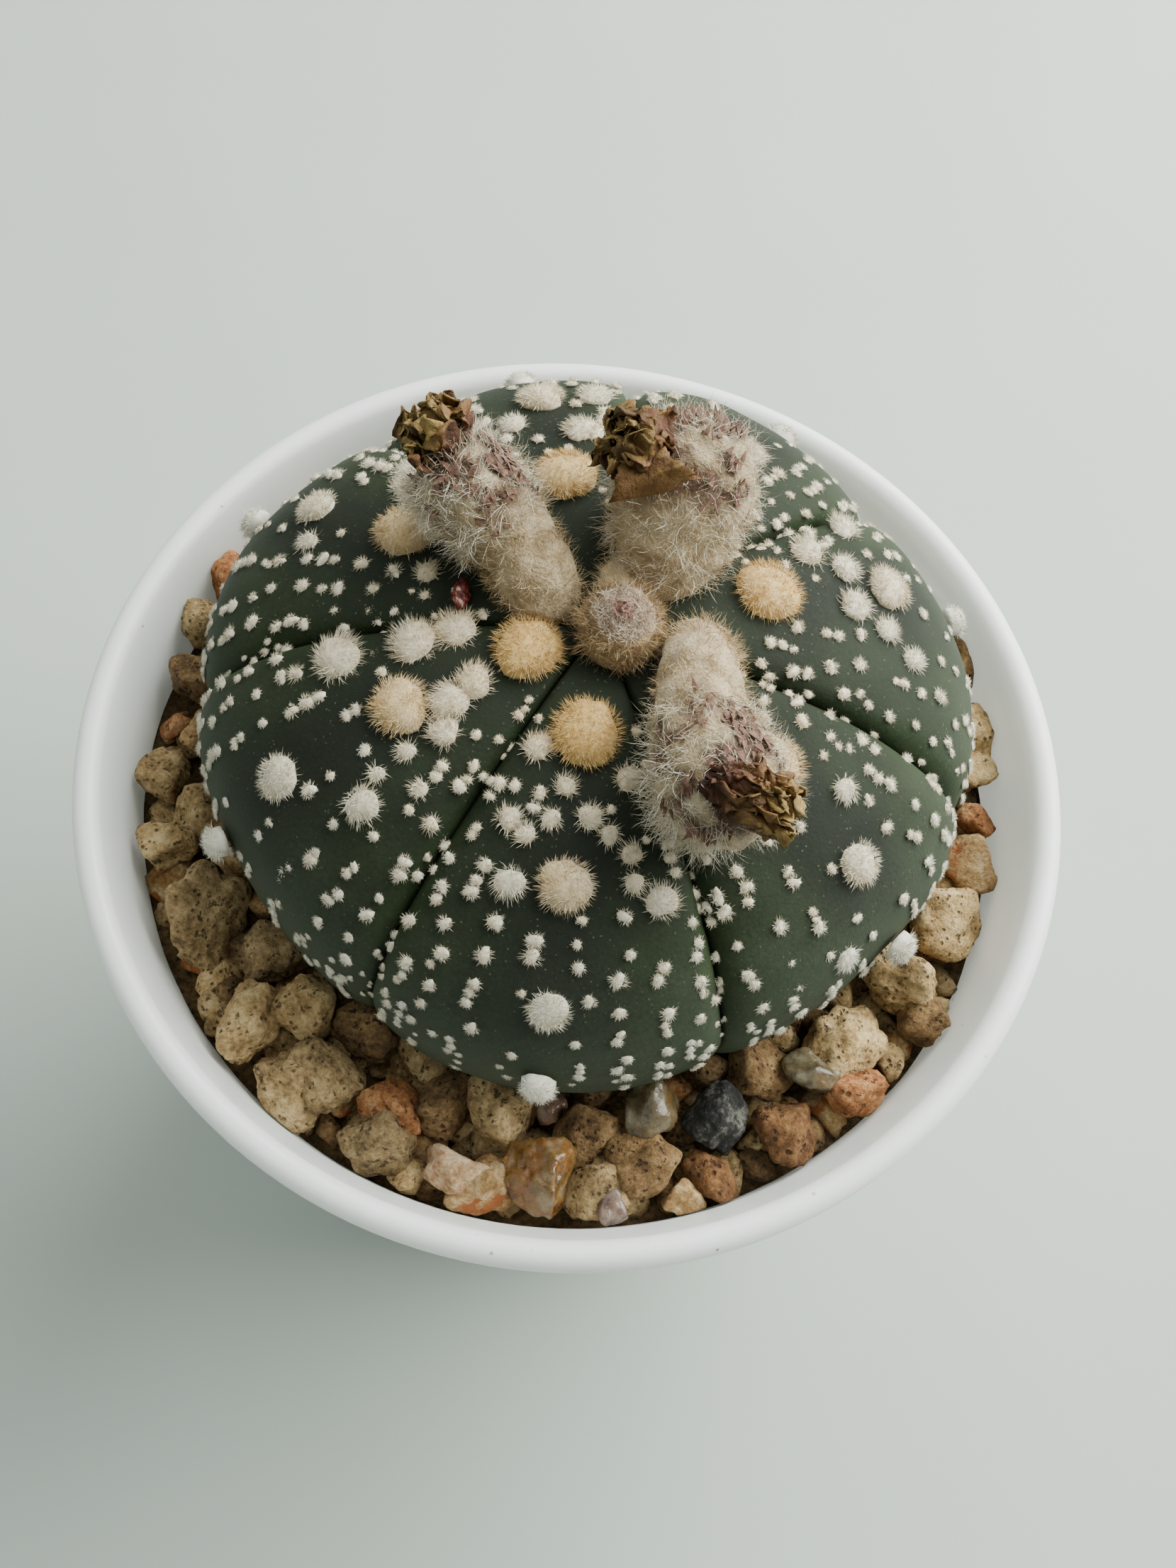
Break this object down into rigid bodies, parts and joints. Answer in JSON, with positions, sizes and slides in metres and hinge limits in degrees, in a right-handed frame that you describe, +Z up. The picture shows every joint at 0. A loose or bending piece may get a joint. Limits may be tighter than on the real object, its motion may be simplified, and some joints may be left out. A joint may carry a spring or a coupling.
{
  "type": "potted star cactus",
  "caption": "Ribbed dome-shaped star cactus with felt areoles, wool flecks and withered woolly flowers, in a tapered round pot with gravel.",
  "frame": {"origin": "centre of the flat underside of the pot", "axes": "+Z up along the pot's axis, +X to the right and -Y towards the near side of the pictured view"},
  "size_m": [0.1, 0.1, 0.1138],
  "materials": {
    "pot_plastic": "satin",
    "pumice_mix": "matte",
    "pumice": "matte",
    "granite": "matte",
    "brown_stone": "matte",
    "quartz": "gloss",
    "black_stone": "satin",
    "cactus_skin": "matte",
    "flower_wool": "matte",
    "dried_petal": "matte"
  },
  "bodies": {
    "root": {"pot": "pot_plastic", "gravel_bed": "pumice_mix", "pumice_large": "pumice", "pumice_pale": "pumice", "pumice_lobed": "pumice", "granite_orange": "granite", "feldspar_pink": "granite", "citrine": "quartz", "quartz_rose": "quartz", "pebble_round": "brown_stone", "quartz_mauve": "quartz", "stone_black": "black_stone", "stone_rust": "brown_stone", "quartz_clear": "quartz", "pumice_right": "pumice", "stone_umber": "brown_stone", "granite_pink": "granite", "pumice_dark": "pumice", "pumice_yellow": "pumice", "cactus_body": "cactus_skin", "flower_tube_1": "flower_wool", "dried_flower_1": "dried_petal", "flower_tube_2": "flower_wool", "dried_flower_2": "dried_petal", "flower_tube_3": "flower_wool", "dried_flower_3": "dried_petal", "young_bud": "flower_wool", "dry_scrap": "dried_petal"}
  },
  "joints": []
}
